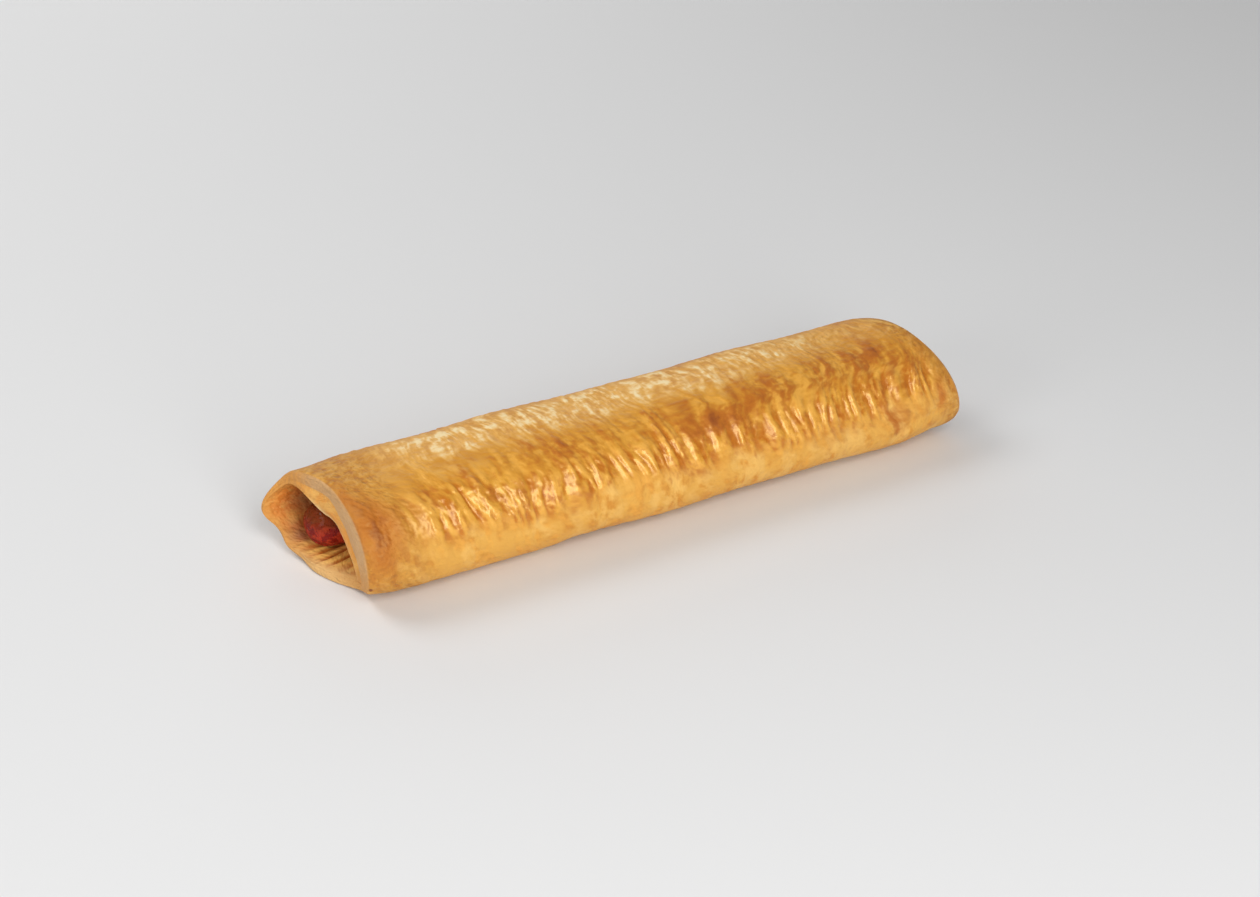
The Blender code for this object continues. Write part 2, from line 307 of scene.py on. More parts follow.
def patch(along, angle, centre, centre_angle, spread, spread_angle, strength):
    """Bell of the given strength round a place, given in millimetres and degrees."""
    return strength * lobe(angle, centre_angle, spread_angle) * np.exp(
        -((along - centre) / spread) ** 2)


def smooth_step(value, start, end):
    """0 before the start, 1 after the end, and an S-curve between them."""
    t = np.clip((value - start) / (end - start), 0, 1)
    return t * t * (3 - 2 * t)


def phase(distance, length):
    """Phase of a wave of the given length, in radians."""
    return distance / length * 2 * np.pi


def section(turn, end_share):
    """Points (y, z) of the section; end_share 1 is the rounder form that it has at a mouth.

    y is the half width times cos(turn) to the power 2/n, and z the half height times
    sin(turn) to the power 2/n; the lower half is sunk a little and cut off at the floor.
    """
    sine = np.sin(turn)
    body_power = np.where(sine >= 0, *BODY_POWERS)
    end_power = np.where(sine >= 0, *END_POWERS)
    power = body_power + (end_power - body_power) * end_share
    half_height = np.where(sine >= 0, HEIGHT - WIDEST_HEIGHT, WIDEST_HEIGHT + BASE_SINK)
    y = HALF_WIDTH * half_power(np.cos(turn), 2 / power)
    z = WIDEST_HEIGHT + half_height * half_power(sine, 2 / power)
    return y, z


def outline_turns(count):
    """Turns of the columns and the outline's length up to each, from the back over the top.

    The columns lie evenly along the outline, but further apart on the flat underside.
    """
    fine = np.linspace(0, 2 * np.pi, OUTLINE_STEPS + 1)
    y, z = section(fine, 0)
    step = np.hypot(np.diff(y), np.diff(z))
    length = np.concatenate([[0], np.cumsum(step)])
    weight = np.where((z[1:] + z[:-1]) / 2 < 0, FLAT_SHARE, 1)
    spent = np.concatenate([[0], np.cumsum(step * weight)])
    places = np.arange(count) / count * spent[-1]
    return np.interp(places, spent, fine), np.interp(places, spent, length), length[-1]


def direction(y, z):
    """Angle in degrees about the middle of the widest line."""
    return np.degrees(np.arctan2(z - WIDEST_HEIGHT, y)) % 360


def mouth_edge(end, slant, lobes, y, angle):
    """X of a mouth's edge: a slanted plane, shifted along X by the lobes."""
    edge_x = end - slant * y
    for centre, spread, shift in lobes:
        edge_x = edge_x + shift * MM * lobe(angle, centre, spread)
    return edge_x


def broad_relief(x, z, angle):
    """Height of the swells, the wrinkles and the flange, out of the skin."""
    twist = TWIST * np.sin(2 * np.radians(angle) + TWIST_PHASE)
    swell = TWIST_SWELL * np.sin(phase(x, TWIST_LENGTH) + twist)
    climb = phase(x, CLIMB_LENGTH) + phase(z, CLIMB_HEIGHT) + CLIMB_PHASE
    swell = swell + CLIMB_SWELL * np.sin(climb)
    drift = WRINKLE_DRIFT * np.sin(phase(x, DRIFT_LENGTH))
    wave = np.sin(phase(x, WRINKLE_LENGTH) + drift + phase(z, LEAN_HEIGHT))
    wrinkle = WRINKLE * wave * lobe(angle, WRINKLE_DIRECTION, WRINKLE_SPREAD)
    stretch = smooth_step(x, *FLANGE_RISE) * (1 - smooth_step(x, *FLANGE_FALL))
    flange = FLANGE * stretch * lobe(angle, FLANGE_DIRECTION, FLANGE_SPREAD)
    return swell + wrinkle + flange


def sausage_centre(x):
    """(y, z) of the sausage's axis at x: a shallow arc."""
    share = (x / BEND_LENGTH) ** 2
    offset = np.where(x < 0, SAUSAGE_LEFT_OFFSET, SAUSAGE_RIGHT_OFFSET)
    return offset * share, SAUSAGE_MID_HEIGHT - SAUSAGE_END_DROP * share


def skin(x, turn):
    """Point (y, z) of the baked outside at x, relief included and cut off at the floor."""
    near_end = np.maximum(1 - smooth_step(x, LEFT_END, LEFT_END + END_FADE),
                          smooth_step(x, RIGHT_END - END_FADE, RIGHT_END))
    y, z = section(turn, near_end)
    angle = direction(y, z)
    height = broad_relief(x, z, angle)
    y = y + height * np.cos(np.radians(angle))
    z = z + height * np.sin(np.radians(angle))
    return y, np.maximum(z, 0)


def room(x, turn):
    """Distance from the skin to the wall of the bore, towards the sausage's axis."""
    y, z = skin(x, turn)
    centre_y, centre_z = sausage_centre(x)
    return np.hypot(centre_y - y, centre_z - z) - SAUSAGE_RADIUS - SAUSAGE_GAP


def inset(x, turn, thickness):
    """Points that lie the given thickness inside the skin, towards the sausage's axis."""
    y, z = skin(x, turn)
    centre_y, centre_z = sausage_centre(x)
    share = thickness / np.hypot(centre_y - y, centre_z - z)
    return np.stack([x, y + (centre_y - y) * share, z + (centre_z - z) * share], axis=-1)


def round_values(table, column, angle):
    """Value of one column of a mouth's table at each direction: eased between its rows, then
    averaged over a few directions nearby."""
    rows = np.array(table, dtype=float)
    turns = np.append(rows[:, 0], 360)
    values = np.append(rows[:, column], rows[0, column]) * MM
    angle = (angle + np.array(BLEND)[:, None]) % 360
    place = np.searchsorted(turns, angle, side="right") - 1
    place = np.clip(place, 0, len(rows) - 1)
    step = (angle - turns[place]) / (turns[place + 1] - turns[place])
    eased = values[place] + (values[place + 1] - values[place]) * smooth_step(step, 0, 1)
    return eased.mean(axis=0)


def along_profile(rows, place):
    """Columns of a profile at places counted in rows: cubic pieces that never overshoot a row.

    The slope at a row is the harmonic mean of the steps beside it, and 0 where they turn back.
    """
    rows = np.array(rows, dtype=float)
    step = np.diff(rows, axis=0)
    before, after = step[:-1], step[1:]
    product = before * after
    total = np.where(product > 0, before + after, 1)
    slope = np.concatenate([step[:1], np.where(product > 0, 2 * product / total, 0),
                            step[-1:]])
    start = np.clip(np.floor(place).astype(int), 0, len(rows) - 2)
    t = (place - start)[:, None]
    rest = 1 - t
    return ((1 + 2 * t) * rest ** 2 * rows[start] + t * rest ** 2 * slope[start]
            + (3 - 2 * t) * t ** 2 * rows[start + 1] - t ** 2 * rest * slope[start + 1])


def mouth_surface(turn, edge, table, rounding, depth, inward):
    """X, thickness and profile place of each ring of a mouth, from the skin to the bore.

    The thickness is the sheet's share, plus the layer's, plus the pleats, plus the rise of the
    wall over what room is left; pastry heaps up in the hollow by the root of the rise.
    """
    steps = [i + np.arange(count) / count for i, count in enumerate(PROFILE_RINGS)]
    place = np.append(np.concatenate(steps), len(PROFILE_RINGS))
    columns = along_profile(MOUTH_PROFILE, place).T[:, :, None]
    sheet_share, layer_share, way, ribs, by_rounding, by_depth, by_mm = columns
    y, z = section(turn, 1)
    angle = direction(y, z)
    edge_x = mouth_edge(*edge, y, angle)
    sheet = round_values(table, 1, angle)
    layer = round_values(table, 2, angle)
    pleats = PLEAT * np.cos(np.radians(angle) * PLEATS_ROUND)
    pleats = pleats * lobe(angle, PLEAT_DIRECTION, PLEAT_SPREAD)
    heap = HEAP * lobe(angle, HEAP_DIRECTION, HEAP_SPREAD)
    crease = by_mm * MM * lobe(angle, *CREASE_OPEN)
    x = edge_x + inward * (by_rounding * rounding + by_depth * depth + crease)
    space = room(x, turn)
    inner = sheet * sheet_share + (layer - sheet) * layer_share + ribs * pleats
    rise = way + heap * np.sqrt(np.maximum(way, 0)) * (1 - way)
    thickness = np.minimum(inner + np.maximum(space - inner, 0) * rise, space)
    return x, thickness, np.broadcast_to(place[:, None], x.shape)


def crust_rings(turn):
    """X, thickness and profile place of every ring of the crust: left mouth outwards, skin,
    right mouth inwards, bore.  The skin is at place 0."""
    left_edge = (LEFT_END, LEFT_SLANT, LEFT_LOBES)
    right_edge = (RIGHT_END, RIGHT_SLANT, RIGHT_LOBES)
    left = mouth_surface(turn, left_edge, LEFT_MOUTH, LEFT_ROUNDING, LEFT_DEPTH, 1)
    right = mouth_surface(turn, right_edge, RIGHT_MOUTH, RIGHT_ROUNDING, RIGHT_DEPTH, -1)
    share = np.linspace(0, 1, SKIN_RINGS + 2)[1:-1, None]
    skin_x = left[0][0] + (right[0][0] - left[0][0]) * share
    share = np.linspace(1, 0, BORE_RINGS + 2)[1:-1, None]
    bore_x = left[0][-1] + (right[0][-1] - left[0][-1]) * share
    bore = (bore_x, room(bore_x, turn), np.full(bore_x.shape, WALL_ROW))
    outside = (skin_x, 0 * skin_x, 0 * skin_x)
    parts = [[part[::-1] for part in left], outside, right, bore]
    return [np.concatenate(column) for column in zip(*parts)]


def noise(along, around, cell, count, seed):
    """Smooth random field from 0 to 1, in cells: 'cell' long along X and 'count' round the roll.

    Each lattice point has a random value, and the values between are eased between four.
    """
    table = np.random.default_rng(seed).random((NOISE_ROWS, count))
    u, v = along / cell + NOISE_ROWS / 2, around * count
    i, j = np.floor(u).astype(int), np.floor(v).astype(int)
    s, t = smooth_step(u - i, 0, 1), smooth_step(v - j, 0, 1)
    i, next_i = i % NOISE_ROWS, (i + 1) % NOISE_ROWS
    j, next_j = j % count, (j + 1) % count
    low = table[i, j] * (1 - s) + table[next_i, j] * s
    high = table[i, next_j] * (1 - s) + table[next_i, next_j] * s
    return low * (1 - t) + high * t


def normals(points):
    """Outward unit normals of a grid that closes on itself both ways, by central differences."""
    along = np.roll(points, -1, axis=0) - np.roll(points, 1, axis=0)
    around = np.roll(points, -1, axis=1) - np.roll(points, 1, axis=1)
    normal = np.cross(around, along)
    return normal / np.maximum(np.linalg.norm(normal, axis=-1, keepdims=True), 1e-12)


def grid_faces(ring_count, round_count):
    """Quads of a grid that closes both ways, and their corners' places on the unit square."""
    row, column = np.meshgrid(np.arange(ring_count), np.arange(round_count), indexing="ij")
    row, column = row.ravel(), column.ravel()
    rows = np.stack([row, row, row + 1, row + 1], axis=1)
    columns = np.stack([column, column + 1, column + 1, column], axis=1)
    faces = rows % ring_count * round_count + columns % round_count
    places = np.stack([rows / ring_count, columns / round_count], axis=-1)
    return faces, places


def add_mesh(name, points, faces, places, fields, material, body="root"):
    """Object with the given quads, its map for baking, its point attributes and its material."""
    mesh = bpy.data.meshes.new(name)
    mesh.vertices.add(len(points))
    mesh.vertices.foreach_set("co", points.astype(np.float32).ravel())
    mesh.loops.add(faces.size)
    mesh.loops.foreach_set("vertex_index", faces.astype(np.int32).ravel())
    mesh.polygons.add(len(faces))
    mesh.polygons.foreach_set("loop_start", np.arange(len(faces), dtype=np.int32) * 4)
    mesh.polygons.foreach_set("loop_total", np.full(len(faces), 4, dtype=np.int32))
    mesh.update(calc_edges=True)
    mesh.validate()
    layer = mesh.uv_layers.new(name="OFBake", do_init=False)
    layer.uv.foreach_set("vector", places.astype(np.float32).ravel())
    for field, values in fields.items():
        kind = "FLOAT_VECTOR" if values.ndim == 2 else "FLOAT"
        attribute = mesh.attributes.new(field, kind, "POINT")
        key = "vector" if values.ndim == 2 else "value"
        attribute.data.foreach_set(key, values.astype(np.float32).ravel())
    mesh.shade_smooth()
    mesh.materials.append(material)
    piece = bpy.data.objects.new(name, mesh)
    bpy.context.scene.collection.objects.link(piece)
    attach(piece, body)
    return piece


def zones(x, around, angle):
    """Shares of the crown, the ribbed side, the foot and the shoulder between them at a place.

    They are told apart by how far round from the crown a place lies, with wandering borders.
    """
    away = np.where(angle > 270, angle - 360, angle) - CROWN_DIRECTION
    from_crown = np.where(away < 0, -away * BACK_STRETCH, away)
    wander = noise(x, around, *WANDER_NOISE) * 2 - 1
    wander = wander + FRAY_SHARE * (noise(x, around, *FRAY_NOISE) * 2 - 1)
    place = from_crown + WANDER_ANGLE * wander
    crown = 1 - smooth_step(place, *CROWN_FADE)
    reach = SIDE_REACH * (1 - smooth_step(x, *REACH_FADE))
    side = smooth_step(place + reach, *SIDE_RISE) * (1 - smooth_step(place, *SIDE_FALL))
    base = smooth_step(place, *BASE_RISE)
    shoulder = np.clip(1 - crown - side - base, 0, 1)
    return from_crown + CROWN_DIRECTION, crown, side, base, shoulder


def bent_lengths(x, round_place, warp):
    """Lengths along X that the ribs follow: warped, leaning on the left, curved on the right."""
    curved = smooth_step(x, *CURVE_RISE)
    lean = LEAN * np.maximum(round_place - CURVE_DIRECTION, LEAN_LIMIT) * (1 - curved)
    curve = CURVE * ((round_place - CURVE_DIRECTION) / CURVE_SPREAD) ** 2 * curved
    return x + WARP * warp - lean - np.minimum(curve, CURVE_LIMIT)


def crust_fields(x, around, angle, edge_distance):
    """Fine relief of the skin and what colours it.  Returns its height and its fields.

    Ribs are a noise of short cells along X and long ones round the roll; the zones say how high
    they stand: most on the near side, less on the crown.
    """
    along = x / MM
    round_place, crown, side, base, shoulder = zones(x, around, angle)
    at_edge = 1 - smooth_step(edge_distance, *EDGE_FADE)
    warp = noise(x, around, *WARP_NOISE) - 0.5
    warp = warp + BROAD_WARP_SHARE * (noise(x, around, *BROAD_WARP_NOISE) - 0.5)
    bent = bent_lengths(x, round_place, warp)
    rib = noise(bent, around, *RIB_NOISE)
    rib = rib + RIB_WAVE_SHARE * (0.5 + 0.5 * np.sin(phase(bent, RIB_LENGTH)) - rib)
    rib = smooth_step(rib, *RIB_PLATEAU)
    swell = noise(bent * SWELL_SQUEEZE, around, *SWELL_NOISE)
    blister = smooth_step(noise(x, around, *BLISTER_NOISE), *BLISTER_RANGE)
    blister = blister * smooth_step(x, *BLISTERS_START) * (1 - smooth_step(x, *BLISTERS_STOP))

    depth = side + CROWN_DEPTH * crown + SHOULDER_DEPTH * shoulder + BASE_DEPTH * base
    patches = smooth_step(noise(x, around, *DEPTH_NOISE), *DEPTH_RANGE)
    depth = depth * (LEAST_DEPTH + DEPTH_GAIN * patches) * (1 - EDGE_LOSS * at_edge)
    height = (RIB_HEIGHT * (rib - 0.5) + SWELL_HEIGHT * (swell - 0.5)) * depth
    height = height + BLISTER_HEIGHT * blister * side
    height = height + MM * sum(patch(along, angle, *dent) for dent in DENTS)

    browning_and_shade = BROWN_SHOULDER * shoulder + BROWN_SIDE * side + BROWN_EDGE * at_edge
    browning_and_shade = browning_and_shade + sum(patch(along + BROWN_BEND * warp, angle, *brown_and_shade)
                        for brown_and_shade in BROWN_AND_SHADE_PATCHES)
    crown = np.maximum(crown, patch(along, angle, *PALE_PATCH))
    crown = crown * smooth_step(x, *CROWN_START) * (1 - CROWN_LOSS * smooth_step(x, *CROWN_STOP))
    fields = {"browning_and_shade": np.clip(browning_and_shade, 0, BROWN_MOST), "crown": crown, "side": side,
              "base": base, "rib": rib, "at_edge": at_edge, "bent": bent,
              "speck": sum(patch(along, angle, *speck) for speck in SPECKS)}
    return height, fields


def mouth_relief(x, around, angle, thickness, place):
    """Height of what is uneven in a mouth: leaves of the cut face, lumps of the hollow, and the
    pastry that clings to the sausage."""
    cut = smooth_step(place, *LEAVES_RISE) * (1 - smooth_step(place, *LEAVES_FALL))
    height = LEAF_HEIGHT * (noise(thickness * LEAF_SQUEEZE, around, *LEAF_NOISE) - 0.5) * cut
    loose = lobe(angle, *LOOSE)
    lumpy = smooth_step(place, *LUMPS_RISE) * (place < WALL_ROW - 1) * loose
    height = height + LUMP_HEIGHT * (noise(x, around, *LUMP_NOISE) - 0.5) * lumpy
    clinging = smooth_step(place, *CLING_RISE) * (place < WALL_ROW) * loose
    return height + CLING * (noise(x, around, *CLING_NOISE) + CLING_RAISE) * clinging


def mouth_fields(x, angle, place):
    """What colours a mouth, by place on its profile and by direction."""
    pleat = np.cos(np.radians(angle) * PLEATS_ROUND)
    pleat = pleat * lobe(angle, PLEAT_DIRECTION, PLEAT_COLOUR_SPREAD)
    stain = smooth_step(place, *STAIN_RISE) * (1 - smooth_step(place, *STAIN_FALL))
    return {"place": place, "outside": 1 - smooth_step(place, *SKIN_FADE),
            "depth": smooth_step(place, LAYER_ROW, WALL_ROW),
            "pleat": pleat * smooth_step(place, *PLEATS_RISE),
            "below": lobe(angle, PLEAT_DIRECTION, HEAP_SPREAD),
            "stain": stain * (x < 0) * lobe(angle, *STAIN),
            "lip": lobe(angle, *LIP) * (x < 0)}


def make_crust(material):
    """The baked pastry: one closed surface, finely ribbed outside, layered at its mouths.

    Its patterns are laid on a straight cylinder as long round as the outline, so that they
    close without a seam.
    """
    turn, length, outline = outline_turns(ROUND_COUNT)
    x, thickness, place = crust_rings(turn)
    points = inset(x, turn, thickness)
    around = np.broadcast_to(length / outline, x.shape)
    y, z = section(turn, 1)
    angle = direction(y, z)
    left_x = mouth_edge(LEFT_END, LEFT_SLANT, LEFT_LOBES, y, angle)
    right_x = mouth_edge(RIGHT_END, RIGHT_SLANT, RIGHT_LOBES, y, angle)
    angle = np.broadcast_to(angle, x.shape)
    edge_distance = np.minimum(x - left_x, (right_x - x) * RIGHT_EDGE_STRETCH)
    height, fields = crust_fields(x, around, angle, edge_distance)
    fields.update(mouth_fields(x, angle, place))
    fields["back"] = np.where(angle < 270, 1 - smooth_step(angle, *BACK_FADE), 1)

    height = height * fields["outside"] * smooth_step(points[..., 2], *FLOOR_FADE)
    height = height + mouth_relief(x, around, angle, thickness, place)
    points = points + normals(points) * height[..., None]
    points[..., 2] = np.maximum(points[..., 2], 0)

    cylinder = 2 * np.pi * around
    radius = outline / (2 * np.pi) - thickness
    patterns = {"sheet": (fields.pop("bent"), radius * np.cos(cylinder),
                          radius * np.sin(cylinder)),
                "leaves": (thickness, LEAF_RADIUS * np.cos(cylinder),
                           LEAF_RADIUS * np.sin(cylinder))}
    flat = {name: values.ravel() for name, values in fields.items()}
    for name, axes in patterns.items():
        flat[name] = np.stack(axes, axis=-1).reshape(-1, 3)
    faces, places = grid_faces(*x.shape)
    crust = add_mesh("baked_crust", points.reshape(-1, 3), faces, places, flat, material)
    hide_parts("pastry")


# ---------------------------------------------------------------- the sausage

SAUSAGE_ROUND = 128
SAUSAGE_RINGS = 200
# Rings of a domed end, the first at this share of half a turn from its tip; the dimple that
# closes it is this far in.
DOME_RINGS = 26
DOME_START = 0.03
TIP_SINK = 0.3 * MM
# Wrinkles of the casing: (cell along X, cells round the sausage, seed).
CASING_NOISE = (2.2 * MM, 14, 31)
CASING_WRINKLE = 0.4 * MM
# The casing gathers in puckers towards each tip.
PUCKERS = 11
PUCKER_HEIGHT = 0.35 * MM
# The casing's side takes this share of its map, and its caps are small discs past it.
SIDE_PLACE = 0.94
CAP_CENTRES = ((0.3, 0.97), (0.7, 0.97))
CAP_PLACE = 0.02
# The top is darkened by painted shade: from the first to the second of these shares of the radius
# above the axis, and a share of the wrinkles more; the tips are shaded by so much.
TOP_SHADE_RISE = (0.0, 0.5)
TOP_SHADE_WRINKLE = 0.3
TIP_SHADE = 0.2


def cap_faces(rings, columns):
    """Quads that close the two ends of a grid of rings round two added points, and their places.

    Each quad takes three corners of the ring and the tip; its place lies on a small disc.
    """
    next_column = (np.arange(columns) + 1) % columns
    caps, places = [], []
    for end, centre in enumerate(CAP_CENTRES):
        first, tip = end * (rings - 1) * columns, rings * columns + end
        a, b = first + np.arange(0, columns, 2), first + next_column[::2]
        c, t = first + (next_column[::2] + 1) % columns, np.full(columns // 2, tip)
        cap = np.stack([c, b, a, t] if end == 0 else [a, b, c, t], axis=1)
        turn = cap % columns / columns * 2 * np.pi
        radius = np.where(cap == tip, 0, CAP_PLACE)
        caps.append(cap)
        places.append(np.stack([centre[0] + radius * np.cos(turn),
                                centre[1] + radius * np.sin(turn)], axis=-1))
    return np.concatenate(caps), np.concatenate(places)


def make_sausage(material):
    """The sausage: a bent bar with domed, puckered ends that close in small dimples."""
    low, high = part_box("sausage")
    arc = np.linspace(DOME_START, 0.5, DOME_RINGS) * np.pi
    backs, shares = SAUSAGE_DOME * (1 - np.cos(arc)), np.sin(arc)
    middle = np.linspace(low.x + SAUSAGE_DOME, high.x - SAUSAGE_DOME, SAUSAGE_RINGS)[1:-1]
    x = np.concatenate([low.x + backs, middle, (high.x - backs)[::-1]])[:, None]
    width = np.concatenate([shares, np.ones(len(middle)), shares[::-1]])[:, None]
    turn = np.arange(SAUSAGE_ROUND) / SAUSAGE_ROUND * 2 * np.pi
    around = np.broadcast_to(turn / (2 * np.pi), (len(x), SAUSAGE_ROUND))
    folds = np.abs(noise(x + 0 * around, around, *CASING_NOISE) * 2 - 1) - 0.5
    pucker = np.cos(turn * PUCKERS + 2 * np.sin(3 * turn)) * (1 - width ** 4)
    radius = SAUSAGE_RADIUS * width + CASING_WRINKLE * folds * width ** 2
    radius = radius + PUCKER_HEIGHT * pucker * np.minimum(width * 3, 1)
    centre_y, centre_z = sausage_centre(x)
    points = np.stack([x + 0 * radius, centre_y + radius * np.cos(turn),
                       centre_z + radius * np.sin(turn)], axis=-1)
    tip_x = np.array([low.x + TIP_SINK, high.x - TIP_SINK])
    tips = np.stack([tip_x, *sausage_centre(tip_x)], axis=-1)
    points = np.concatenate([points.reshape(-1, 3), tips])

    rings, columns = radius.shape
    faces, places = grid_faces(rings, columns)
    side = np.arange(len(faces)) < (rings - 1) * columns
    caps, cap_places = cap_faces(rings, columns)
    faces = np.concatenate([faces[side], caps])
    places = np.concatenate([places[side] * (1, SIDE_PLACE), cap_places])
    # Painted shade over the top of the sausage.
    brown_and_shade = smooth_step(np.sin(turn) * width + TOP_SHADE_WRINKLE * folds, *TOP_SHADE_RISE)
    end = 1 - np.broadcast_to(width, folds.shape) ** 3
    fields = {"folds": np.append(folds.ravel(), [0, 0]), "end": np.append(end.ravel(), [1, 1]),
              "brown_and_shade": np.append(brown_and_shade.ravel(), [TIP_SHADE, TIP_SHADE])}
    sausage = add_mesh("cooked_sausage", points, faces, places, fields, material)
    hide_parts("sausage")


# ---------------------------------------------------------------- finishes

# Range that a fractal noise spreads from when its contrast is raised.
SPREAD = (0.27, 0.73)


class Value:
    """A number socket of a material, on which arithmetic adds Math nodes."""

    def __init__(self, shop, socket):
        self.shop = shop
        self.socket = socket

    def math(self, operation, *values, **settings):
        """The result of a Math node on this value and others."""
        node = self.shop.node("ShaderNodeMath", {"operation": operation, **settings},
                              dict(enumerate((self, *values))))
        return Value(self.shop, node.outputs[0])

    def __add__(self, other):
        return self.math("ADD", other)

    def __sub__(self, other):
        return self.math("SUBTRACT", other)

    def __rsub__(self, other):
        return self.math("MULTIPLY", -1).math("ADD", other)

    def __mul__(self, other):
        return self.math("MULTIPLY", other)

    __radd__ = __add__
    __rmul__ = __mul__

    def clamped(self):
        """The value kept between 0 and 1."""
        return self.math("ADD", 0.0, use_clamp=True)

    def step(self, start, end):
        """0 before the start, 1 after the end, and an S-curve between them."""
        node = self.shop.node("ShaderNodeMapRange", {"interpolation_type": "SMOOTHSTEP"},
                              {"Value": self, "From Min": start, "From Max": end})
        return Value(self.shop, node.outputs["Result"])


class Shop:
    """Builds one material: any node by type, settings and inputs, and the helpers on it."""

    def __init__(self, name):
        self.material = bpy.data.materials.new(name)
        self.material.use_nodes = True
        self.tree = self.material.node_tree
        self.shader = self.tree.nodes["Principled BSDF"]

    def node(self, kind, settings, inputs):
        """A node with its settings, whose inputs are values or linked sockets."""
        node = self.tree.nodes.new(kind)
        for name, value in settings.items():
            setattr(node, name, value)
        for name, value in inputs.items():
            self.set(node.inputs[name], value)
        return node

    def set(self, socket, value):
        """Links a socket's value, or sets it as a constant."""
        value = value.socket if isinstance(value, Value) else value
        if isinstance(value, bpy.types.NodeSocket):
            self.tree.links.new(value, socket)
        else:
            socket.default_value = value

    def field(self, name):
        """A point attribute as a value."""
        node = self.node("ShaderNodeAttribute", {"attribute_name": name}, {})
        return Value(self, node.outputs["Fac"])

    def place(self, name, scale=(1, 1, 1)):
        """A vector attribute, each axis times its scale."""
        node = self.node("ShaderNodeAttribute", {"attribute_name": name}, {})
        scaled = self.node("ShaderNodeVectorMath", {"operation": "MULTIPLY"},
                           {0: node.outputs["Vector"], 1: scale})
        return scaled.outputs["Vector"]

    def object_place(self):
        """Object coordinates."""
        return self.node("ShaderNodeTexCoord", {}, {}).outputs["Object"]

    def noise(self, vector, scale, detail, roughness=0.5):
        """Fractal noise, which keeps to the middle of the range from 0 to 1."""
        node = self.node("ShaderNodeTexNoise", {},
                         {"Vector": vector, "Scale": scale, "Detail": detail,
                          "Roughness": roughness})
        return Value(self, node.outputs["Fac"])

    def mix(self, share, first, second):
        """Colour between two, by share.  6 and 7 are the node's colour inputs, 2 its output."""
        node = self.node("ShaderNodeMix", {"data_type": "RGBA"},
                         {"Factor": share, 6: first, 7: second})
        return node.outputs[2]

    def bump(self, height, strength, distance, normal=None):
        """A normal bent by a height."""
        inputs = {"Height": height, "Strength": strength, "Distance": distance}
        if normal is not None:
            inputs["Normal"] = normal
        node = self.node("ShaderNodeBump", {}, inputs)
        return node.outputs["Normal"]

    def finish(self, **inputs):
        """Sets the shader's own sockets, named with underscores for spaces."""
        for name, value in inputs.items():
            self.set(self.shader.inputs[name.replace("_", " ")], value)
        return self.material


# The cut face and the fold have their own colours where the lip's field has risen over this.
LIP_RISE = (0.15, 0.6)
# Depths of the fine bumps.
SKIN_BUMP = 0.001
LEAF_BUMP = 0.0002
CASING_BUMP = 0.0006


def shade(red, green, blue):
    """Linear colour of a screen colour, each channel from 0 to 255."""
    screen = np.array([red, green, blue]) / 255
    linear = np.where(screen <= 0.04045, screen / 12.92, ((screen + 0.055) / 1.055) ** 2.4)
    return (*linear.tolist(), 1.0)


GOLD = shade(214, 150, 50)
DEEP_GOLD = shade(188, 106, 18)
RIB_GOLD = shade(236, 172, 74)
BROWN = shade(182, 102, 28)
DARK_BROWN = shade(150, 74, 26)
EDGE_TAN = shade(194, 132, 52)
EDGE_PALE = shade(212, 157, 78)
EDGE_BROWN = shade(172, 104, 40)
WARM_SHEEN = shade(255, 232, 160)
STRAW = shade(232, 176, 88)
CREAM_AND_SHEEN = shade(248, 224, 172)
FOOT_PALE = shade(230, 178, 94)
FOOT = shade(222, 164, 74)
FOOT_GOLD = shade(206, 136, 49)
CUT_FACE = shade(212, 168, 120)
CUT_LINE = shade(194, 144, 92)
LIP_GOLD = shade(208, 142, 68)
LIP_PALE = shade(218, 172, 112)
FOLD = shade(228, 152, 66)
FOLD_PALE = shade(236, 176, 92)
HOLLOW = shade(214, 122, 40)
HOLLOW_PALE = shade(224, 156, 72)
HOLLOW_SHADE_AND_SPECK = shade(128, 52, 24)
STAINED = shade(146, 84, 66)
PLEAT_HIGHLIGHT = shade(255, 196, 98)
CASING = shade(134, 26, 18)
CASING_BRIGHT = shade(188, 58, 36)
CASING_DARK = shade(70, 14, 9)
CASING_SHADE = shade(118, 50, 16)


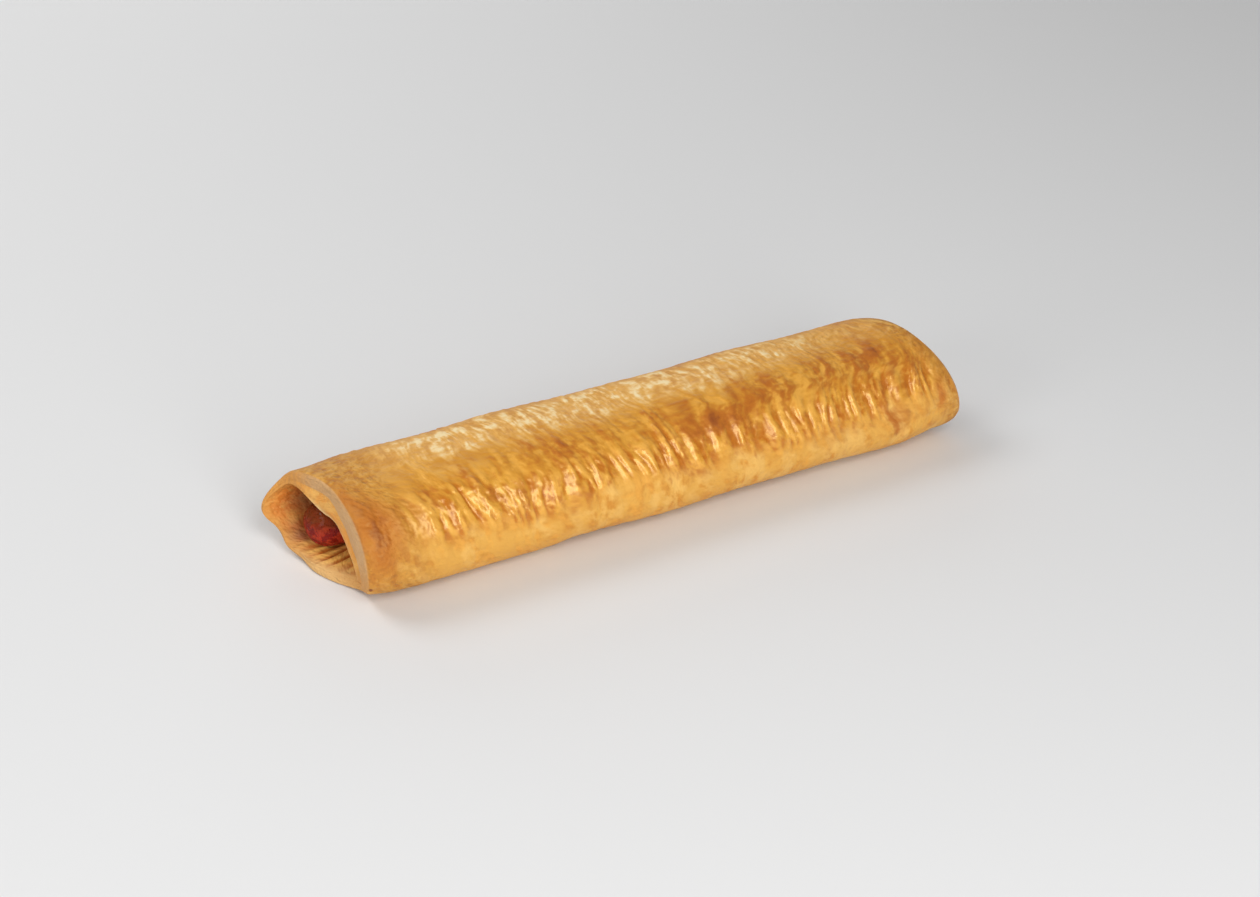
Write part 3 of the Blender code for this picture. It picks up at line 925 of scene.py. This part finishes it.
class PastryPattern:
    """Fields and noises of the baked pastry, as values of its shop."""

    def __init__(self, shop):
        self.shop = shop
        self.browning_and_shade = shop.field("browning_and_shade")
        self.crown = shop.field("crown")
        self.side = shop.field("side")
        self.base = shop.field("base")
        self.back = shop.field("back")
        self.rib = shop.field("rib")
        self.at_edge = shop.field("at_edge")
        self.speck = shop.field("speck")
        self.outside = shop.field("outside")
        self.place = shop.field("place")
        self.depth = shop.field("depth")
        self.pleat = shop.field("pleat")
        self.below = shop.field("below")
        self.stain = shop.field("stain")
        self.lip = shop.field("lip")
        self.thread = self.laid(0.6, 420, 1)
        self.streak = self.laid(0.28, 270, 2)
        self.flake = self.laid(0.25, 520, 2)
        self.dimple = self.laid(1, 450, 1.5)
        self.bead = self.laid(1, 560, 0.5)
        self.grain = shop.noise(shop.object_place(), 900, 2, 0.6)
        self.layers = shop.noise(shop.place("leaves"), 1300, 2)
        self.threads = self.thread.step(*SPREAD)
        self.streaks = self.streak.step(*SPREAD)
        self.flakes = self.flake.step(*SPREAD)
        self.dimples = self.dimple.step(*SPREAD)
        self.mottle = self.laid(1, 160, 4, 0.6).step(*SPREAD)
        self.broad = self.laid(0.3, 95, 2).step(*SPREAD)
        self.cloud = shop.noise(shop.object_place(), 45, 3).step(*SPREAD)

    def laid(self, share, scale, detail, roughness=0.5):
        """Noise laid on the sheet; the smaller the share, the longer it is round the roll."""
        place = self.shop.place("sheet", (1, share, share))
        return self.shop.noise(place, scale, detail, roughness)


def side_colour(shop, on):
    """Ribbed near side: its own gold, with painted shade in the valleys and painted highlight on
    the tops.
    """
    ribbed = on.rib * 0.5 + on.threads * 0.2 + on.streaks * 0.3
    # Rib tops lighter and valleys deeper gold: painted highlight and painted shade over the
    # pastry's own tone.
    colour = shop.mix(ribbed.step(0.28, 0.6), DEEP_GOLD, GOLD)
    return shop.mix(ribbed.step(0.5, 0.85), colour, RIB_GOLD)


def foot_colour(shop, on):
    """The foot of the roll: softly mottled pale gold."""
    colour = shop.mix((on.mottle * 0.5 + on.streaks * 0.5).step(0.15, 0.6), FOOT_GOLD, FOOT)
    return shop.mix((on.mottle * 0.5 + on.broad * 0.5).step(0.45, 0.8), colour, FOOT_PALE)


def edge_colour(shop, on):
    """The skin near a mouth: speckled tan."""
    speckle = on.dimples * 0.4 + on.mottle * 0.35 + on.flakes * 0.25
    colour = shop.mix(speckle.step(0.28, 0.5), EDGE_BROWN, EDGE_TAN)
    return shop.mix(speckle.step(0.52, 0.72), colour, EDGE_PALE)


def skin_colour(shop, on):
    """The baked outside: its zones, then lights and browning in a shared tone with painted shade
    in one crease, pale flakes with painted sheen on the crown, and dark pits and specks."""
    colour = shop.mix(on.cloud * 0.15 + on.mottle * 0.1 + on.broad * 0.2, GOLD, DEEP_GOLD)
    colour = shop.mix(on.side, colour, side_colour(shop, on))
    footed = (on.base * 1.3 + (on.mottle - 0.5) * 0.3).clamped() * on.base.step(0, 0.2)
    colour = shop.mix(footed, colour, foot_colour(shop, on))
    speckled = edge_colour(shop, on)
    colour = shop.mix(on.at_edge * 0.5, colour, speckled)

    tone = (on.mottle - 0.5) * 0.25 + (on.cloud - 0.5) * 0.2 + (on.streaks - 0.5) * 0.6
    tone = tone + (on.dimples - 0.5) * 0.4 + (on.broad - 0.5) * 0.3
    colour = shop.mix((tone * -1).step(0.05, 0.5) * (1 - on.at_edge) * 0.6, colour, RIB_GOLD)
    toned = on.browning_and_shade + tone * (1 - on.base * 0.3 - on.at_edge * 0.3)
    # Browning, with painted shade in the right end's crease.
    colour = shop.mix(toned.step(0.15, 0.9), colour, BROWN)
    colour = shop.mix(toned.step(0.85, 1.4), colour, DARK_BROWN)
    colour = shop.mix(on.at_edge * (0.7 - on.browning_and_shade * 0.7).clamped(), colour, speckled)

    # Pale flakes on the crown: partly the pastry's own paler flakes, partly painted sheen.
    leaf = (on.streak * 0.25 + on.flake * 0.5 + on.thread * 0.25).step(0.37, 0.63)
    flakes_and_sheen = leaf * 0.9 + (on.dimples - 0.5) * 0.25 + (on.grain - 0.5) * 0.5 + 0.18
    flakes_and_sheen = on.crown * flakes_and_sheen
    colour = shop.mix(flakes_and_sheen.step(0.15, 0.8), colour, STRAW)
    colour = shop.mix(flakes_and_sheen.step(0.55, 1.2), colour, CREAM_AND_SHEEN)
    pits = (on.dimples * 0.6 + on.grain * 0.4 + on.at_edge * 0.06).step(0.83, 0.97) * 0.5
    colour = shop.mix(pits, colour, DARK_BROWN)
    return shop.mix(on.speck.step(0.2, 0.7), colour, HOLLOW_SHADE_AND_SPECK)


def hollow_colour(shop, on):
    """The inside of a mouth: painted light on its pleats and its floor, painted shade deeper in,
    one stain.
    """
    # Random patches, paler on the pleats' crests as painted light.
    patchy = (on.mottle * 0.9 + on.dimples * 0.3 - 0.1 + on.pleat * 0.7).step(0.2, 0.8)
    colour = shop.mix(patchy, HOLLOW, HOLLOW_PALE)
    # The pleats' crests and the hollow's floor are painted lighter, as painted light.
    colour = shop.mix((on.pleat * 0.9 + on.below * 0.7).step(0.1, 1.0), colour, PLEAT_HIGHLIGHT)
    # Painted shade: deeper in the hollow, less on its floor and on the pleats' crests.
    shaded = on.depth * (1.1 - on.below * 1.2) + (on.cloud - 0.5) * 0.3 - on.pleat * 0.3
    colour = shop.mix(shaded.clamped(), colour, HOLLOW_SHADE_AND_SPECK)
    return shop.mix(on.stain * (0.8 + (on.mottle - 0.5) * 0.4), colour, STAINED)


def pastry_colour(shop, on):
    """From the skin inwards: the layered cut face, the fold with its rim of painted highlight,
    the hollow.

    Where the cut face doesn't show, the lip's own gold takes its place and the fold's.
    """
    lipped = on.lip.step(*LIP_RISE)
    lip_colour = shop.mix(on.below, LIP_GOLD, LIP_PALE)
    cut_colour = shop.mix(on.layers * 0.6 + on.mottle * 0.4, CUT_LINE, CUT_FACE)
    cut_colour = shop.mix(lipped, lip_colour, cut_colour)
    fold_colour = shop.mix(on.mottle.step(0.2, 0.9), FOLD, FOLD_PALE)
    # A thin painted highlight along the fold's inner edge.
    rim_highlight = (on.place.step(*RIM_HIGHLIGHT_RISE) - on.place.step(*RIM_HIGHLIGHT_FALL)) * on.lip.step(0.3, 0.8)
    fold_colour = shop.mix(rim_highlight * 0.6, fold_colour, CREAM_AND_SHEEN)
    fold_colour = shop.mix(lipped, lip_colour, fold_colour)
    colour = shop.mix(on.place.step(*CUT_ROWS), skin_colour(shop, on), cut_colour)
    colour = shop.mix(on.place.step(*FOLD_ROWS), colour, fold_colour)
    return shop.mix(on.place.step(*HOLLOW_ROWS), colour, hollow_colour(shop, on))


def pastry_normal(shop, on):
    """Fine streaks, threads, beads, flakes and dimples of the skin, and the cut face's leaves."""
    relief = on.streak * (on.crown * 0.1 + 0.3 - on.at_edge * 0.25)
    relief = relief + on.thread * (on.side * 0.1 + 0.2 - on.at_edge * 0.15)
    relief = relief + on.bead * (on.side * 0.25 + 0.1)
    relief = relief + on.flake * (on.crown * 0.2 + on.at_edge * 0.1)
    relief = relief + on.dimple * (0.35 - on.side * 0.15 + on.at_edge * 0.6) + on.grain * 0.04
    leaves = on.layers * (on.place.step(*CUT_ROWS) - on.place.step(*FOLD_ROWS))
    return shop.bump(leaves, 0.5, LEAF_BUMP, shop.bump(relief, 1.0, SKIN_BUMP))


def baked_pastry():
    """Egg-washed puff pastry: golden, browned in patches, pale on its crown and along its foot,
    with layered cut faces and a softer inside.  Painted sheen lies on the crown's pale flakes,
    painted highlight and shade on the side's ribs, and painted shade in one crease and deeper in
    the hollows.  It is dull at its edges and inside."""
    shop = Shop("baked_pastry")
    on = PastryPattern(shop)
    dull = (on.at_edge * 1.05 + on.base * 0.6 + on.back * 0.75 + (1 - on.outside)).clamped()
    roughness = 0.42 - on.side * 0.13 + dull * 0.25 + (on.mottle - 0.5) * 0.08
    glaze = (1 - dull) * (0.1 + on.side * 0.3 - on.cloud * 0.1)
    return shop.finish(Base_Color=pastry_colour(shop, on), Roughness=roughness,
                       Coat_Weight=glaze, Coat_Roughness=0.22, Normal=pastry_normal(shop, on),
                       Specular_IOR_Level=1.0, Specular_Tint=WARM_SHEEN)


def cooked_casing():
    """Cooked sausage: dark red, moist and glossy, lighter on its folds and darker at its end.

    Its top is darkened by painted shade.
    """
    shop = Shop("cooked_casing")
    body = shop.object_place()
    mottle = shop.noise(body, 380, 3, 0.6).step(0.35, 0.65)
    fleck = shop.noise(body, 900, 2).step(*SPREAD)
    folds, end, brown_and_shade = shop.field("folds"), shop.field("end"), shop.field("brown_and_shade")
    colour = shop.mix((mottle * 1.4 + folds * 0.8 - 0.2).step(0.2, 0.9), CASING, CASING_BRIGHT)
    colour = shop.mix(end * 0.2 + fleck.step(0.7, 1.0) * 0.3, colour, CASING_DARK)
    # Painted shade on the sausage's top and tips.
    colour = shop.mix((brown_and_shade + (mottle - 0.5) * 0.4).clamped(), colour, CASING_SHADE)
    fine = shop.bump(mottle * 0.7 + fleck * 0.3, 1.0, CASING_BUMP)
    return shop.finish(Base_Color=colour, Roughness=0.46 + (mottle - 0.5) * 0.2,
                       Coat_Weight=0.15, Coat_Roughness=0.1, Normal=fine,
                       Specular_IOR_Level=0.05)


# ---------------------------------------------------------------- floor, light and camera

CAMERA_PLACE = (-0.2948, -0.5612, 0.4133)
CAMERA_LOOK = (0.3962, 0.7498, -0.5299)
LENS = 63.57
SENSOR = 36
NEAREST = 0.01

FLOOR_SIZE = 6
FLOOR_GREY = shade(226, 226, 226)

# Soft boxes that face the roll: (name, place, size, watts).
SOFTBOXES = (("behind", (0.15, 1.0, 0.32), (1.1, 0.64), 2.5),
             ("key", (-0.06, -0.84, 0.5), (0.36, 1.04), 7.7),
             ("overhead", (-0.5, 0.55, 0.85), (0.5, 0.5), 4.2),
             ("fill", (-0.8, -0.25, 0.35), (0.4, 0.4), 1.7))
SURROUND = 0.24


def make_floor():
    """A plain pale floor that goes far past the view."""
    bpy.ops.mesh.primitive_plane_add(size=FLOOR_SIZE, location=(0, 0, 0))
    floor = bpy.context.object
    floor.name = "floor"
    shop = Shop("pale_floor")
    floor.data.materials.append(shop.finish(Base_Color=FLOOR_GREY, Roughness=0.8))


def add_softbox(name, place, size, power):
    """A white area light at a place, facing the origin."""
    light = bpy.data.lights.new(name, "AREA")
    light.shape = "RECTANGLE"
    light.size, light.size_y = size
    light.energy = power
    lamp = bpy.data.objects.new(name, light)
    lamp.location = place
    lamp.rotation_mode = "QUATERNION"
    lamp.rotation_quaternion = (-Vector(place)).to_track_quat("-Z", "Y")
    bpy.context.scene.collection.objects.link(lamp)


def light_scene():
    """Soft studio light: a wide box low behind, a key in front, a fill and an even surround."""
    for softbox in SOFTBOXES:
        add_softbox(*softbox)
    world = bpy.data.worlds.new("surround")
    world.use_nodes = True
    background = world.node_tree.nodes["Background"]
    background.inputs["Color"].default_value = (1, 1, 1, 1)
    background.inputs["Strength"].default_value = SURROUND
    bpy.context.scene.world = world
    bpy.context.scene.view_settings.view_transform = "Standard"


def add_camera():
    """The camera, at the set place and looking the set way."""
    camera = bpy.data.objects.new("camera", bpy.data.cameras.new("camera"))
    camera.data.lens = LENS
    camera.data.sensor_width = SENSOR
    camera.data.clip_start = NEAREST
    camera.location = CAMERA_PLACE
    camera.rotation_mode = "QUATERNION"
    camera.rotation_quaternion = Vector(CAMERA_LOOK).to_track_quat("-Z", "Y")
    bpy.context.scene.collection.objects.link(camera)
    bpy.context.scene.camera = camera


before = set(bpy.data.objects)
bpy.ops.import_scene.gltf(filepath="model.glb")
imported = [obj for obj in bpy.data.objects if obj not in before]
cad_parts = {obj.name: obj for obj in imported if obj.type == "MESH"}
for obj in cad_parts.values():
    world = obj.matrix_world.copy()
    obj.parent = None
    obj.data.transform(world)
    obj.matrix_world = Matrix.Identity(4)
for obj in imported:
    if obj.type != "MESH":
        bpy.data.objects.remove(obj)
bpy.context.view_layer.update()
add_camera()
make_floor()
light_scene()
make_crust(baked_pastry())
make_sausage(cooked_casing())
bpy.context.view_layer.update()
